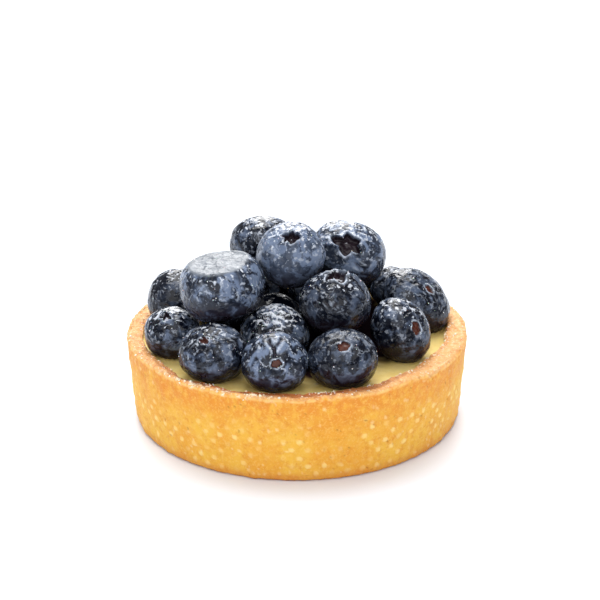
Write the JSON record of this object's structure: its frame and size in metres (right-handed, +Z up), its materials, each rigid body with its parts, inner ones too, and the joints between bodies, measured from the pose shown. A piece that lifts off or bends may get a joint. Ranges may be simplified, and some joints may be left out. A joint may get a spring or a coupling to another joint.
{
  "type": "fruit tart",
  "caption": "Small round fruit tart: a straight-sided golden shortcrust shell filled level with custard, under a loose heap of whole blueberries.",
  "frame": {"origin": "centre of the tart's flat underside", "axes": "+Z up out of the heap of berries, -Y towards the side that faces the viewer, +X to that viewer's right"},
  "size_m": [0.0794, 0.0794, 0.047],
  "materials": {
    "crust": "baked shortcrust, dry and finely pored",
    "custard": "set custard, smooth and faintly moist",
    "berry_skin": "blue-black berry skin under a pale waxy bloom and icing sugar",
    "stem_scar": "dry brown scar",
    "icing_sugar": "fine white sugar grains"
  },
  "bodies": {
    "root": {"crust": "crust", "custard": "custard", "berry_ring_01": "berry_skin", "berry_ring_02": "berry_skin", "berry_ring_03": "berry_skin", "berry_ring_04": "berry_skin", "berry_ring_05": "berry_skin", "berry_ring_06": "berry_skin", "berry_ring_07": "berry_skin", "berry_ring_08": "berry_skin", "berry_ring_09": "berry_skin", "berry_ring_10": "berry_skin", "berry_ring_11": "berry_skin", "berry_ring_12": "berry_skin", "berry_inner_01": "berry_skin", "berry_inner_02": "berry_skin", "berry_inner_03": "berry_skin", "berry_inner_04": "berry_skin", "berry_inner_05": "berry_skin", "berry_inner_06": "berry_skin", "berry_upper_01": "berry_skin", "berry_upper_02": "berry_skin", "berry_upper_03": "berry_skin", "berry_upper_04": "berry_skin", "berry_top": "berry_skin"}
  },
  "joints": []
}
